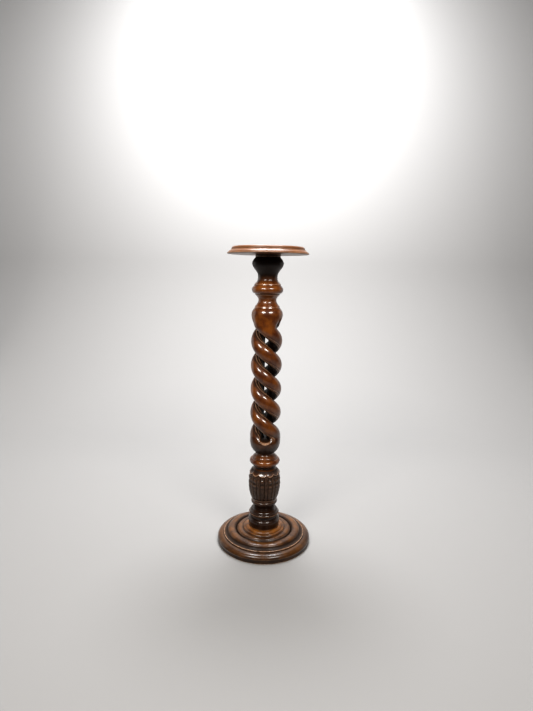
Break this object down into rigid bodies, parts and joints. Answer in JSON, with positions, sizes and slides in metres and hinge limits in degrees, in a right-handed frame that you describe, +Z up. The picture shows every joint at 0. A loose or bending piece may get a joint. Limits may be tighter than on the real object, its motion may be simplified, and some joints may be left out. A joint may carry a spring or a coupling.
{
  "type": "barley twist pedestal",
  "caption": "Tall round-topped wooden pedestal: moulded round top, open barley twist shaft over a carved leaf vase, and a wide turned foot with raised rings.",
  "frame": {"origin": "on the floor, at the middle of the foot's underside", "axes": "+Z up along the shaft, towards the round top; -Y is the front, where the twist's lower opening shows"},
  "size_m": [0.3184, 0.3184, 1],
  "materials": {
    "base_wood": "polished brown stain, worn at the edges",
    "shaft_wood": "polished red-brown stain, dark in the recesses",
    "top_wood": "polished lighter brown stain, worn at the edge"
  },
  "bodies": {
    "root": {"base": "base_wood", "shaft": "shaft_wood", "top_plate": "top_wood"}
  },
  "joints": []
}
